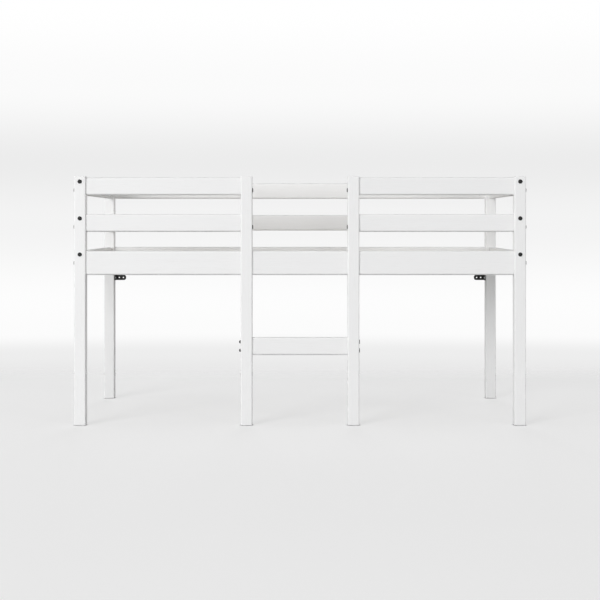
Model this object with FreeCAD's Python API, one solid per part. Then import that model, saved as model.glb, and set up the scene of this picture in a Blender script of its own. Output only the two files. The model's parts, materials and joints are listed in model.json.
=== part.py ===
"""Mid sleeper: a half-high bed with guard rails all round and a ladder in the middle of its front.

Lengths are in millimetres. X runs along the bed, Y from the ladder side to the wall side, Z up.
The origin is on the floor, under the middle of the bed.
"""

import FreeCAD
import Part

import os
from collections import defaultdict, namedtuple
from math import cos, pi, sin

from FreeCAD import Placement, Rotation, Vector

# Mattress that the bed is made for
MATTRESS_LENGTH = 2000.0
MATTRESS_WIDTH = 900.0
MATTRESS_PLAY = 1.0  # between the mattress and the posts, on each side

# Corner posts and ladder stiles
POST_SIDE = 54.0
POST_REVEAL = 5.0  # how far a post stands above the top guard rails
POST_ROUNDING = 5.0
STILE_WIDTH = 54.0
LADDER_OPENING = 446.0  # between the two stiles
NOTCH_GAP = 0.5  # above the side rail, in the stile's notch

# Rails
RAIL_THICKNESS = 22.0
RAIL_ROUNDING = 8.5
RAIL_SETBACK = 10.0  # of the long rails, behind the outer faces of the posts
UNDER_BED_HEIGHT = 703.0  # floor to the underside of the side rails
SIDE_RAIL_HEIGHT = 113.0
GUARD_RAIL_HEIGHT = 83.0
GUARD_GAP = 89.0  # from one rail to the next

# Ladder step, a board on edge
STEP_TOP = 411.5
STEP_HEIGHT = 83.0
STEP_THICKNESS = 22.0

# Slatted base: ledges on the side rails, loose slats and two bands that hold their spacing
LEDGE_DEPTH = 44.0
LEDGE_HEIGHT = 28.0
LEDGE_RISE = 9.0  # from the underside of the side rail to the underside of the ledge
LEDGE_END_GAP = 2.0
LEDGE_ROUNDING = 2.0
SLAT_COUNT = 15
SLAT_WIDTH = 68.0
SLAT_THICKNESS = 18.0
SLAT_ROUNDING = 2.0
BAND_WIDTH = 25.0
BAND_THICKNESS = 1.2
BAND_SPACING = 600.0
BAND_END_INSET = 10.0

# Connector bolts with domed heads, and the barrel nuts that they screw into
BOLT_DIAMETER = 6.0
BOLT_TIP = 2.0  # thread past the nut
BOLT_TIP_CHAMFER = 0.8
BOLT_HOLE_GAP = 0.25
HEAD_DIAMETER = 19.5
HEAD_HEIGHT = 3.8
HEAD_RIM_HEIGHT = 2.2
HEAD_CROWN_DIAMETER = 15.5  # flat ring round the socket
HEAD_BULGE_SHARE = 0.14  # of the way from the rim to the crown
SOCKET_FLATS = 5.0
SOCKET_SIDES = 6
SOCKET_DEPTH = 3.0
NUT_DIAMETER = 10.0
NUT_LENGTH = 14.0
NUT_SETBACK = 32.0  # from the end of the rail
NUT_GAP = 0.1
NUT_SLOT_WIDTH = 1.4
NUT_SLOT_DEPTH = 1.6
THREAD_GAP = 0.1

# Heads of the step's bolts: high domes on the left stile and flat discs on the right one
DOME_DIAMETER = 15.0
DOME_HEIGHT = 8.0
DOME_RIM_HEIGHT = 1.0
DOME_CROWN_DIAMETER = 7.0
DISC_DIAMETER = 20.0
DISC_HEIGHT = 3.2
DISC_RIM_HEIGHT = 2.0
DISC_CROWN_DIAMETER = 17.0

# Dowels
DOWEL_DIAMETER = 8.0
DOWEL_LENGTH = 30.0
DOWEL_CHAMFER = 0.8
DOWEL_GAP = 0.1
DOWEL_END_GAP = 1.0

# Heights of the fasteners in the rails
FASTENER_SPACING = 40.0  # bolts of the long rails pass this far below those of the end rails
GUARD_FASTENER_LIFT = 1.5  # middle of the fasteners above the middle of a guard rail
SIDE_FASTENER_LIFT = 20.0  # the same for the side and end rails
LOWER_DOWEL_RISE = 18.0  # above the underside of the side and end rails
STEP_BOLT_SPACING = 40.0

# Countersunk wood screws
SCREW_DIAMETER = 4.5
SCREW_HEAD_DIAMETER = 9.0
SCREW_HEAD_HEIGHT = 2.6
SCREW_POINT_LENGTH = 5.0
SCREW_GAP = 0.1
RECESS_WIDTH = 1.3
RECESS_LENGTH = 4.4
RECESS_DEPTH = 1.8
LEDGE_SCREW_COUNT = 7
LEDGE_SCREW_END_INSET = 70.0
LEDGE_SCREW_BITE = 15.0
STILE_SCREW_COVER = 2.0  # wood between the point and the front of the stile
STILE_SCREW_INSET = 26.0  # upper row, below the top of the side rail
STILE_SCREW_ROW_SPACING = 24.0
STILE_SCREW_COLUMN_SPACING = 26.0

# Wall brackets on the back posts
BRACKET_HEIGHT = 28.0
BRACKET_THICKNESS = 2.5
BRACKET_BEND_RADIUS = 2.0
BRACKET_WALL_LEG = 57.0
BRACKET_POST_LEG = 50.0
BRACKET_END_ROUNDING = 12.0
BRACKET_DROP = 53.0  # from the underside of the side rails to the middle of the bracket
BRACKET_HOLE_DIAMETER = 7.0
BRACKET_HOLE_INSET = 20.0  # from the post to the first wall hole
BRACKET_HOLE_PITCH = 22.0
BRACKET_SCREW_INSET = 21.0  # from the wall to the first screw in the post
BRACKET_SCREW_PITCH = 18.0
BRACKET_SCREW_LENGTH = 30.0
PAN_HEAD_DIAMETER = 8.6
PAN_HEAD_HEIGHT = 2.8
PAN_HEAD_ROUNDING = 1.2

# How far a cut runs past the face that it starts from
OVERRUN = 4.0

# The largest part of a wall that the rounding on each side of it may take
ROUNDING_LIMIT_SHARE = 0.45

X = Vector(1, 0, 0)
Y = Vector(0, 1, 0)
Z = Vector(0, 0, 1)
ENDS = {"left": -1, "right": 1}
SIDES = {"front": -1, "back": 1}

# Places worked out from the sizes above
post_inner_x = MATTRESS_LENGTH / 2 + MATTRESS_PLAY
post_inner_y = MATTRESS_WIDTH / 2 + MATTRESS_PLAY
post_outer_x = post_inner_x + POST_SIDE
post_outer_y = post_inner_y + POST_SIDE
end_rail_x = post_inner_x + POST_SIDE / 2
long_rail_y = post_outer_y - RAIL_SETBACK - RAIL_THICKNESS / 2
rail_inner_y = long_rail_y - RAIL_THICKNESS / 2
stile_inner_x = LADDER_OPENING / 2
stile_outer_x = stile_inner_x + STILE_WIDTH
side_rail_top = UNDER_BED_HEIGHT + SIDE_RAIL_HEIGHT
mid_guard_bottom = side_rail_top + GUARD_GAP
top_guard_bottom = mid_guard_bottom + GUARD_RAIL_HEIGHT + GUARD_GAP
post_height = top_guard_bottom + GUARD_RAIL_HEIGHT + POST_REVEAL
ledge_top = UNDER_BED_HEIGHT + LEDGE_RISE + LEDGE_HEIGHT
slat_top = ledge_top + SLAT_THICKNESS
slat_pitch = (MATTRESS_LENGTH - SLAT_WIDTH) / (SLAT_COUNT - 1)
wall_y = post_outer_y + HEAD_HEIGHT
bracket_bottom = UNDER_BED_HEIGHT - BRACKET_DROP - BRACKET_HEIGHT / 2
step_middle = STEP_TOP - STEP_HEIGHT / 2

# One row of rails: its name, underside, board height and how high its fasteners sit above its middle
RailRow = namedtuple("RailRow", "name bottom height lift")
SIDE_ROW = RailRow("side", UNDER_BED_HEIGHT, SIDE_RAIL_HEIGHT, SIDE_FASTENER_LIFT)
GUARD_ROWS = [
    RailRow("mid", mid_guard_bottom, GUARD_RAIL_HEIGHT, GUARD_FASTENER_LIFT),
    RailRow("top", top_guard_bottom, GUARD_RAIL_HEIGHT, GUARD_FASTENER_LIFT),
]

# One kind of bolt head: how wide and high it is, how high its upright rim and how wide its flat crown
BoltHead = namedtuple("BoltHead", "diameter height rim crown")
RAIL_HEAD = BoltHead(HEAD_DIAMETER, HEAD_HEIGHT, HEAD_RIM_HEIGHT, HEAD_CROWN_DIAMETER)
STEP_HEADS = {
    "left": BoltHead(DOME_DIAMETER, DOME_HEIGHT, DOME_RIM_HEIGHT, DOME_CROWN_DIAMETER),
    "right": BoltHead(DISC_DIAMETER, DISC_HEIGHT, DISC_RIM_HEIGHT, DISC_CROWN_DIAMETER),
}

# One end of a rail, where it is bolted and dowelled to the post or stile that carries it.
# middle is the middle of the end face on the floor plan, outward points through the carrier
# and inward points out of the face that the barrel nuts go into.
RailEnd = namedtuple(
    "RailEnd",
    "rail carrier bolts head nuts dowels middle outward inward wall thickness bolt_heights dowel_heights",
)


def rounded_box(low, high, rounding, axes):
    """Box between two corners, with the edges along the given axes rounded."""
    size = high - low
    box = Part.makeBox(size.x, size.y, size.z, low)
    edges = [e for e in box.Edges if any(round(abs(e.Curve.Direction.dot(a))) for a in axes)]
    limit = ROUNDING_LIMIT_SHARE * min(size.x, size.y, size.z)
    return box.makeFillet(min(rounding, limit), edges)


def cylinder(diameter, length, start, direction):
    return Part.makeCylinder(diameter / 2, length, start, direction)


def turned(points):
    """Solid of revolution about Z from the half outline (radius, height)."""
    wire = Part.makePolygon([Vector(r, 0, h) for r, h in points + points[:1]])
    return Part.Face(wire).revolve(Vector(), Z, 360)


def placed(shape, at, up, side=None):
    """Copy of a shape with its own Z along up and, if given, its own X along side."""
    copy = shape.copy()
    turn = Rotation(Z, up) if side is None else Rotation(side, up.cross(side), up, "ZXY")
    copy.Placement = Placement(at, turn)
    return copy


# Boards


def post(end, side):
    x_faces = sorted([ENDS[end] * post_inner_x, ENDS[end] * post_outer_x])
    y_faces = sorted([SIDES[side] * post_inner_y, SIDES[side] * post_outer_y])
    low = Vector(x_faces[0], y_faces[0], 0)
    high = Vector(x_faces[1], y_faces[1], post_height)
    return rounded_box(low, high, POST_ROUNDING, [X, Y, Z])


def ladder_stile(end):
    """Upright of the ladder, notched from behind so that it hooks over the front side rail."""
    x_faces = sorted([ENDS[end] * stile_inner_x, ENDS[end] * stile_outer_x])
    low = Vector(x_faces[0], -post_outer_y, 0)
    high = Vector(x_faces[1], -post_inner_y, post_height)
    rail_front = -long_rail_y - RAIL_THICKNESS / 2
    notch = Part.makeBox(
        STILE_WIDTH + 2 * OVERRUN,
        -post_inner_y - rail_front + OVERRUN,
        SIDE_RAIL_HEIGHT + NOTCH_GAP,
        Vector(x_faces[0] - OVERRUN, rail_front, UNDER_BED_HEIGHT),
    )
    return rounded_box(low, high, POST_ROUNDING, [X, Y, Z]).cut(notch)


def long_rail(row, side, x_start, x_end):
    middle = SIDES[side] * long_rail_y
    low = Vector(x_start, middle - RAIL_THICKNESS / 2, row.bottom)
    high = Vector(x_end, middle + RAIL_THICKNESS / 2, row.bottom + row.height)
    return rounded_box(low, high, RAIL_ROUNDING, [X])


def end_rail(row, end):
    middle = ENDS[end] * end_rail_x
    low = Vector(middle - RAIL_THICKNESS / 2, -post_inner_y, row.bottom)
    high = Vector(middle + RAIL_THICKNESS / 2, post_inner_y, row.bottom + row.height)
    return rounded_box(low, high, RAIL_ROUNDING, [Y])


def ladder_step():
    low = Vector(-stile_inner_x, -long_rail_y - STEP_THICKNESS / 2, STEP_TOP - STEP_HEIGHT)
    high = Vector(stile_inner_x, -long_rail_y + STEP_THICKNESS / 2, STEP_TOP)
    return rounded_box(low, high, RAIL_ROUNDING, [X])


def slat_ledge(side):
    y_faces = sorted([SIDES[side] * rail_inner_y, SIDES[side] * (rail_inner_y - LEDGE_DEPTH)])
    half_length = post_inner_x - LEDGE_END_GAP
    low = Vector(-half_length, y_faces[0], ledge_top - LEDGE_HEIGHT)
    high = Vector(half_length, y_faces[1], ledge_top)
    return rounded_box(low, high, LEDGE_ROUNDING, [X])


def slat(index):
    left = -MATTRESS_LENGTH / 2 + index * slat_pitch
    low = Vector(left, -MATTRESS_WIDTH / 2, ledge_top)
    high = Vector(left + SLAT_WIDTH, MATTRESS_WIDTH / 2, slat_top)
    return rounded_box(low, high, SLAT_ROUNDING, [Y])


def slat_band(side):
    """Webbing band that runs along the undersides of the slats."""
    middle = SIDES[side] * BAND_SPACING / 2
    length = MATTRESS_LENGTH - 2 * BAND_END_INSET
    corner = Vector(-length / 2, middle - BAND_WIDTH / 2, ledge_top - BAND_THICKNESS)
    return Part.makeBox(length, BAND_WIDTH, BAND_THICKNESS, corner)


# Fasteners, each made with its head up and the underside of its head at the origin


def connector_bolt(length, head):
    shank = BOLT_DIAMETER / 2
    rim = head.diameter / 2
    rim_edge = Vector(rim, 0, head.rim)
    crown_edge = Vector(head.crown / 2, 0, head.height)
    slope = crown_edge - rim_edge
    shoulder = (rim_edge + crown_edge) / 2 + Vector(slope.z, 0, -slope.x) * HEAD_BULGE_SHARE
    corners = [
        crown_edge,
        Vector(0, 0, head.height),
        Vector(0, 0, -length),
        Vector(shank - BOLT_TIP_CHAMFER, 0, -length),
        Vector(shank, 0, BOLT_TIP_CHAMFER - length),
        Vector(shank, 0, 0),
        Vector(rim, 0, 0),
        rim_edge,
    ]
    dome = Part.Arc(rim_edge, shoulder, crown_edge).toShape()
    outline = Part.Wire(Part.makePolygon(corners).Edges + [dome])
    body = Part.Face(outline).revolve(Vector(), Z, 360)
    radius = SOCKET_FLATS / 2 / cos(pi / SOCKET_SIDES)
    turns = [2 * pi * i / SOCKET_SIDES for i in range(SOCKET_SIDES + 1)]
    floor = head.height - SOCKET_DEPTH
    hexagon = Part.makePolygon([Vector(radius * cos(a), radius * sin(a), floor) for a in turns])
    return body.cut(Part.Face(hexagon).extrude(Z * (SOCKET_DEPTH + OVERRUN)))


def barrel_nut():
    """Cross nut about the origin, its threaded hole along X and its slotted end up."""
    body = cylinder(NUT_DIAMETER, NUT_LENGTH, Z * (-NUT_LENGTH / 2), Z)
    hole = cylinder(BOLT_DIAMETER + 2 * THREAD_GAP, NUT_DIAMETER, X * (-NUT_DIAMETER / 2), X)
    slot = Part.makeBox(
        NUT_DIAMETER,
        NUT_SLOT_WIDTH,
        NUT_SLOT_DEPTH + OVERRUN,
        Vector(-NUT_DIAMETER / 2, -NUT_SLOT_WIDTH / 2, NUT_LENGTH / 2 - NUT_SLOT_DEPTH),
    )
    return body.cut([hole, slot])


def dowel():
    """Fluteless dowel about the origin, along Z."""
    body = cylinder(DOWEL_DIAMETER, DOWEL_LENGTH, Z * (-DOWEL_LENGTH / 2), Z)
    rims = [e for e in body.Edges if isinstance(e.Curve, Part.Circle)]
    return body.makeChamfer(DOWEL_CHAMFER, rims)


def cross_recess(top):
    """Cutter for a cross recess in a screw head whose top is at the given height."""
    depth = RECESS_DEPTH + OVERRUN
    low = top - RECESS_DEPTH
    arm = Vector(-RECESS_LENGTH / 2, -RECESS_WIDTH / 2, low)
    other_arm = Vector(-RECESS_WIDTH / 2, -RECESS_LENGTH / 2, low)
    first = Part.makeBox(RECESS_LENGTH, RECESS_WIDTH, depth, arm)
    return first.fuse(Part.makeBox(RECESS_WIDTH, RECESS_LENGTH, depth, other_arm))


def countersunk_screw(length):
    shank = SCREW_DIAMETER / 2
    head = SCREW_HEAD_DIAMETER / 2
    body = turned([
        (0, 0),
        (head, 0),
        (shank, -SCREW_HEAD_HEIGHT),
        (shank, SCREW_POINT_LENGTH - length),
        (0, -length),
    ])
    return body.cut(cross_recess(0))


def countersunk_hole(length):
    shank = SCREW_DIAMETER / 2 + SCREW_GAP
    head = SCREW_HEAD_DIAMETER / 2 + SCREW_GAP
    return turned([
        (0, OVERRUN),
        (head, OVERRUN),
        (head, 0),
        (shank, -SCREW_HEAD_HEIGHT),
        (shank, -length - SCREW_GAP),
        (0, -length - SCREW_GAP),
    ])


def pan_head_screw(length):
    shank = SCREW_DIAMETER / 2
    head = cylinder(PAN_HEAD_DIAMETER, PAN_HEAD_HEIGHT, Vector(), Z)
    top_rim = [e for e in head.Edges if isinstance(e.Curve, Part.Circle) and e.Curve.Center.z > 0]
    head = head.makeFillet(PAN_HEAD_ROUNDING, top_rim)
    body = turned([(0, 0), (shank, 0), (shank, SCREW_POINT_LENGTH - length), (0, -length)])
    return head.fuse(body).removeSplitter().cut(cross_recess(PAN_HEAD_HEIGHT))


def pan_head_hole(length):
    depth = length + SCREW_GAP
    return cylinder(SCREW_DIAMETER + 2 * SCREW_GAP, depth + OVERRUN, Z * OVERRUN, -Z)


# Wall bracket


def wall_bracket(end):
    """Bent steel strip: one leg on the inner face of a back post, the other against the wall."""
    across = -ENDS[end]
    plate = BRACKET_THICKNESS
    inner = plate + BRACKET_BEND_RADIUS
    middle_share = 1 - cos(pi / 4)

    def at(along_wall, from_wall):
        return Vector(ENDS[end] * post_inner_x + across * along_wall, wall_y - from_wall, bracket_bottom)

    bend_inside = plate + BRACKET_BEND_RADIUS * middle_share
    bend_outside = inner * middle_share
    outline = Part.Wire([
        Part.makeLine(at(inner, 0), at(BRACKET_WALL_LEG, 0)),
        Part.makeLine(at(BRACKET_WALL_LEG, 0), at(BRACKET_WALL_LEG, plate)),
        Part.makeLine(at(BRACKET_WALL_LEG, plate), at(inner, plate)),
        Part.Arc(at(inner, plate), at(bend_inside, bend_inside), at(plate, inner)).toShape(),
        Part.makeLine(at(plate, inner), at(plate, BRACKET_POST_LEG)),
        Part.makeLine(at(plate, BRACKET_POST_LEG), at(0, BRACKET_POST_LEG)),
        Part.makeLine(at(0, BRACKET_POST_LEG), at(0, inner)),
        Part.Arc(at(0, inner), at(bend_outside, bend_outside), at(inner, 0)).toShape(),
    ])
    strip = Part.Face(outline).extrude(Z * BRACKET_HEIGHT)
    tip_x = at(BRACKET_WALL_LEG, 0).x
    tip_edges = [
        e
        for e in strip.Edges
        if isinstance(e.Curve, Part.Line) and round(abs(e.Curve.Direction.dot(Y)))
        and e.CenterOfMass.isEqual(Vector(tip_x, e.CenterOfMass.y, e.CenterOfMass.z), BRACKET_THICKNESS)
    ]
    strip = strip.makeFillet(min(BRACKET_END_ROUNDING, ROUNDING_LIMIT_SHARE * BRACKET_HEIGHT), tip_edges)
    holes = []
    for index in range(2):
        along_wall = BRACKET_HOLE_INSET + index * BRACKET_HOLE_PITCH
        start = at(along_wall, -OVERRUN) + Z * (BRACKET_HEIGHT / 2)
        holes.append(cylinder(BRACKET_HOLE_DIAMETER, plate + 2 * OVERRUN, start, -Y))
    return strip.cut(holes)


# Joints between the pieces


def fastener_heights(row):
    """Heights of the upper and the lower fastener at the end of a rail."""
    middle = row.bottom + row.height / 2 + row.lift
    return middle + FASTENER_SPACING / 2, middle - FASTENER_SPACING / 2


def lower_dowels(row):
    return [row.bottom + LOWER_DOWEL_RISE] if row is SIDE_ROW else []


def long_rail_end(rail, carrier, group, row, side, x_face, outward, wall):
    upper, lower = fastener_heights(row)
    return RailEnd(
        rail, carrier, group, RAIL_HEAD, f"barrel_nuts_{side}", "dowels_long_rails",
        Vector(x_face, SIDES[side] * long_rail_y, 0), X * outward, Y * -SIDES[side],
        wall, RAIL_THICKNESS, [lower], [upper] + lower_dowels(row),
    )


def end_rail_end(rail, end, side, row):
    upper, lower = fastener_heights(row)
    return RailEnd(
        rail, f"post_{side}_{end}", f"post_bolts_{side}", RAIL_HEAD,
        f"barrel_nuts_{end}", "dowels_end_rails",
        Vector(ENDS[end] * end_rail_x, SIDES[side] * post_inner_y, 0), Y * SIDES[side], X * -ENDS[end],
        POST_SIDE, RAIL_THICKNESS, [upper], [lower] + lower_dowels(row),
    )


def step_end(end):
    bolt_heights = [step_middle - STEP_BOLT_SPACING / 2, step_middle + STEP_BOLT_SPACING / 2]
    return RailEnd(
        "ladder_step", f"ladder_stile_{end}", "step_bolts", STEP_HEADS[end],
        "step_barrel_nuts", "dowels_step",
        Vector(ENDS[end] * stile_inner_x, -long_rail_y, 0), X * ENDS[end], Y,
        STILE_WIDTH, STEP_THICKNESS, bolt_heights, [step_middle],
    )


def join_rail_end(joint, fasteners, cutters):
    """Adds the bolts, nuts and dowels of one rail end, and their holes in the rail and its carrier."""
    reach = NUT_SETBACK + NUT_DIAMETER / 2 + BOLT_TIP
    for height in joint.bolt_heights:
        seat = joint.middle + Z * height + joint.outward * joint.wall
        cross = joint.middle + Z * height - joint.outward * NUT_SETBACK
        hole = cylinder(
            BOLT_DIAMETER + 2 * BOLT_HOLE_GAP,
            joint.wall + reach + BOLT_TIP + OVERRUN,
            seat + joint.outward * OVERRUN,
            -joint.outward,
        )
        nut_hole = cylinder(
            NUT_DIAMETER + 2 * NUT_GAP,
            joint.thickness / 2 + NUT_LENGTH / 2 + OVERRUN,
            cross + joint.inward * (joint.thickness / 2 + OVERRUN),
            -joint.inward,
        )
        bolt = connector_bolt(joint.wall + reach, joint.head)
        fasteners[joint.bolts].append(placed(bolt, seat, joint.outward))
        fasteners[joint.nuts].append(placed(barrel_nut(), cross, joint.inward, joint.outward))
        cutters[joint.carrier].append(hole)
        cutters[joint.rail] += [hole, nut_hole]
    for height in joint.dowel_heights:
        middle = joint.middle + Z * height
        half_hole = DOWEL_LENGTH / 2 + DOWEL_END_GAP
        hole = cylinder(
            DOWEL_DIAMETER + 2 * DOWEL_GAP,
            2 * half_hole,
            middle - joint.outward * half_hole,
            joint.outward,
        )
        fasteners[joint.dowels].append(placed(dowel(), middle, joint.outward))
        cutters[joint.carrier].append(hole)
        cutters[joint.rail].append(hole)


def screw_ledge(side, fasteners, cutters):
    """Screws through a ledge into the inner face of its side rail."""
    length = LEDGE_DEPTH + LEDGE_SCREW_BITE
    inward = Y * -SIDES[side]
    reach = post_inner_x - LEDGE_END_GAP - LEDGE_SCREW_END_INSET
    for index in range(LEDGE_SCREW_COUNT):
        x = -reach + 2 * reach * index / (LEDGE_SCREW_COUNT - 1)
        y = SIDES[side] * (rail_inner_y - LEDGE_DEPTH)
        head = Vector(x, y, ledge_top - LEDGE_HEIGHT / 2)
        hole = placed(countersunk_hole(length), head, inward)
        fasteners["ledge_screws"].append(placed(countersunk_screw(length), head, inward))
        cutters[f"slat_ledge_{side}"].append(hole)
        cutters[f"side_rail_{side}"].append(hole)


def screw_stile(end, fasteners, cutters):
    """Screws from inside, through the front side rail into the cheek of a stile."""
    length = RAIL_THICKNESS + RAIL_SETBACK - STILE_SCREW_COVER
    middle = ENDS[end] * (stile_inner_x + STILE_WIDTH / 2)
    for row in range(2):
        for column in (-1, 1):
            x = middle + column * STILE_SCREW_COLUMN_SPACING / 2
            z = side_rail_top - STILE_SCREW_INSET - row * STILE_SCREW_ROW_SPACING
            head = Vector(x, -rail_inner_y, z)
            hole = placed(countersunk_hole(length), head, Y)
            fasteners["stile_screws"].append(placed(countersunk_screw(length), head, Y))
            cutters["side_rail_front"].append(hole)
            cutters[f"ladder_stile_{end}"].append(hole)


def screw_bracket(end, fasteners, cutters):
    """Screws through the short leg of a wall bracket into its post."""
    inward = X * -ENDS[end]
    for index in range(2):
        x = ENDS[end] * (post_inner_x - BRACKET_THICKNESS)
        y = wall_y - BRACKET_SCREW_INSET - index * BRACKET_SCREW_PITCH
        seat = Vector(x, y, bracket_bottom + BRACKET_HEIGHT / 2)
        hole = placed(pan_head_hole(BRACKET_SCREW_LENGTH), seat, inward)
        fasteners["bracket_screws"].append(placed(pan_head_screw(BRACKET_SCREW_LENGTH), seat, inward))
        cutters[f"wall_bracket_{end}"].append(hole)
        cutters[f"post_back_{end}"].append(hole)


# The whole bed


def build_boards():
    """Every board and fitting before its holes are drilled, and the rail ends to join."""
    pieces = {"ladder_step": ladder_step()}
    joints = []
    for end, sign in ENDS.items():
        stile = f"ladder_stile_{end}"
        pieces[stile] = ladder_stile(end)
        pieces[f"wall_bracket_{end}"] = wall_bracket(end)
        joints.append(step_end(end))
        for side in SIDES:
            pieces[f"post_{side}_{end}"] = post(end, side)
        for row in [SIDE_ROW] + GUARD_ROWS:
            name = f"end_rail_{end}" if row is SIDE_ROW else f"guard_rail_{end}_{row.name}"
            pieces[name] = end_rail(row, end)
            joints += [end_rail_end(name, end, side, row) for side in SIDES]
        for row in GUARD_ROWS:
            name = f"guard_rail_front_{end}_{row.name}"
            x_faces = sorted([sign * stile_outer_x, sign * post_inner_x])
            pieces[name] = long_rail(row, "front", *x_faces)
            post_name = f"post_front_{end}"
            post_bolts = f"post_bolts_{end}"
            post_face = sign * post_inner_x
            stile_face = sign * stile_outer_x
            joints.append(
                long_rail_end(name, post_name, post_bolts, row, "front", post_face, sign, POST_SIDE)
            )
            joints.append(
                long_rail_end(name, stile, "stile_bolts", row, "front", stile_face, -sign, STILE_WIDTH)
            )
    through_rails = [("side_rail_front", "front", SIDE_ROW), ("side_rail_back", "back", SIDE_ROW)]
    through_rails += [(f"guard_rail_back_{row.name}", "back", row) for row in GUARD_ROWS]
    for name, side, row in through_rails:
        pieces[name] = long_rail(row, side, -post_inner_x, post_inner_x)
        for end, sign in ENDS.items():
            post_name = f"post_{side}_{end}"
            post_bolts = f"post_bolts_{end}"
            post_face = sign * post_inner_x
            joints.append(
                long_rail_end(name, post_name, post_bolts, row, side, post_face, sign, POST_SIDE)
            )
    for side in SIDES:
        pieces[f"slat_ledge_{side}"] = slat_ledge(side)
        pieces[f"slat_band_{side}"] = slat_band(side)
    for index in range(SLAT_COUNT):
        pieces[f"slat_{index + 1:02d}"] = slat(index)
    return pieces, joints


def main():
    pieces, joints = build_boards()
    fasteners = defaultdict(list)
    cutters = defaultdict(list)
    for joint in joints:
        join_rail_end(joint, fasteners, cutters)
    for side in SIDES:
        screw_ledge(side, fasteners, cutters)
    for end in ENDS:
        screw_stile(end, fasteners, cutters)
        screw_bracket(end, fasteners, cutters)
    for name, holes in cutters.items():
        pieces[name] = pieces[name].cut(holes).Solids[0]
    for name, group in fasteners.items():
        pieces[name] = Part.makeCompound(group)
    os.makedirs("parts", exist_ok=True)
    for name, shape in pieces.items():
        shape.exportStep(os.path.join("parts", f"{name}.step"))
    print(f"{len(pieces)} nodes, {sum(len(s.Solids) for s in pieces.values())} solids")


main()
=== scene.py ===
"""Mid sleeper bed: its finishes, webbing bands, staples and stage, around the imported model.

Lengths are in metres, in the model's own frame: X runs along the bed, Y from the ladder side to the wall
side and Z up, with the origin on the floor under the middle of the bed.
"""

import json
import math
import random

import bmesh
import bpy
from bpy.props import FloatProperty, FloatVectorProperty, IntProperty, PointerProperty
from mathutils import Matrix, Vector


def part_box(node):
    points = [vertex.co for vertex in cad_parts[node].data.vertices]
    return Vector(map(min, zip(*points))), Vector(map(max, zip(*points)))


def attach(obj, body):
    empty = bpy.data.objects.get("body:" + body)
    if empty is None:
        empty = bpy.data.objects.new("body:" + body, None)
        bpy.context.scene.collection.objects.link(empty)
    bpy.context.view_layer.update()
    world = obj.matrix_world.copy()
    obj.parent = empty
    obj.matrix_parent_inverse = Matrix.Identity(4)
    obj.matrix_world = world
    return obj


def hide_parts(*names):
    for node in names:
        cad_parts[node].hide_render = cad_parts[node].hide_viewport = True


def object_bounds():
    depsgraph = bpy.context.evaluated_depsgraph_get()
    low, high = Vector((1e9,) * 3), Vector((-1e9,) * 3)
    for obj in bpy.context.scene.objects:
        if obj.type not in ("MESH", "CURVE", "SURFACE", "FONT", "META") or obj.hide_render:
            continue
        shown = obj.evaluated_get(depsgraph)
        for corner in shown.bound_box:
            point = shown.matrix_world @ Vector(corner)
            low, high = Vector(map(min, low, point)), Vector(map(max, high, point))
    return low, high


bl_info = {
    "name": "Mid Sleeper Bed",
    "version": (1, 0, 0),
    "blender": (4, 5, 0),
    "location": "View3D > Sidebar > Mid Sleeper",
    "description": "Finishes a half-high bed: lacquer, raw slats, steel, webbing bands, staples and stage",
    "category": "Object",
}

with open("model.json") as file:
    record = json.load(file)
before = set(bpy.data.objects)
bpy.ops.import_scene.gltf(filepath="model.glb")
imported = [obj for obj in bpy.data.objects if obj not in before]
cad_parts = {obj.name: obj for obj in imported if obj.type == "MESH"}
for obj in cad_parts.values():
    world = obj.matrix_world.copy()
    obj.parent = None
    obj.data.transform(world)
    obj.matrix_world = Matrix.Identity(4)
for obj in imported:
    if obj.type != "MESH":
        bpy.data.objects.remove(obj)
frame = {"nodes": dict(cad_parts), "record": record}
cad_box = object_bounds()

BASE_BODY = "slatted_base"
AXES = "XYZ"
WOOD_IOR = 1.45

slat_names = [name for name in sorted(frame["nodes"]) if name.startswith("slat_") and name[-1].isdigit()]
slat_boxes = [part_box(name) for name in slat_names]
slat_width = slat_boxes[0][1].x - slat_boxes[0][0].x
slat_pitch = slat_boxes[1][0].x - slat_boxes[0][0].x
slat_middle_z = (slat_boxes[0][0].z + slat_boxes[0][1].z) / 2
band_boxes = {side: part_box(f"slat_band_{side}") for side in ("front", "back")}


# Settings that a user would change


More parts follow.
